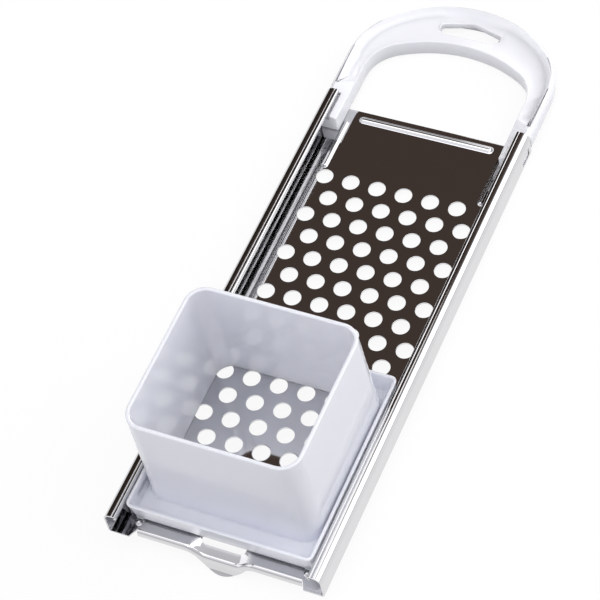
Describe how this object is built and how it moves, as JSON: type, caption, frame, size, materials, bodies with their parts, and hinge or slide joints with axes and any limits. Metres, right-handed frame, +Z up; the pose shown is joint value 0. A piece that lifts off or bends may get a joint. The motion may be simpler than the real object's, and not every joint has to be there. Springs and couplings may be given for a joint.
{
  "type": "dumpling slicer",
  "caption": "Perforated stainless slicer for small dumplings, with folded side rails, a sliding white hopper, a bow handle and a pot hook.",
  "frame": {"origin": "centre of the field of holes, on the flat underside of the perforated sheet", "axes": "+X across the slicer to the right rail, +Y along the rails towards the bow handle, +Z up through the sheet to the hopper's mouth"},
  "size_m": [0.1082, 0.3302, 0.0816],
  "materials": {
    "polished_steel": "polished",
    "white_plastic": "gloss"
  },
  "bodies": {
    "frame": {"perforated_plate": "polished_steel", "left_rail": "polished_steel", "right_rail": "polished_steel", "front_lip": "polished_steel", "pot_hook": "polished_steel", "handle": "white_plastic"},
    "hopper": {"hopper": "white_plastic"}
  },
  "joints": [
    {"name": "hopper_slide", "type": "slide", "parent": "frame", "child": "hopper", "axis": [0, 1, 0], "range_m": [0, 0.121]}
  ]
}
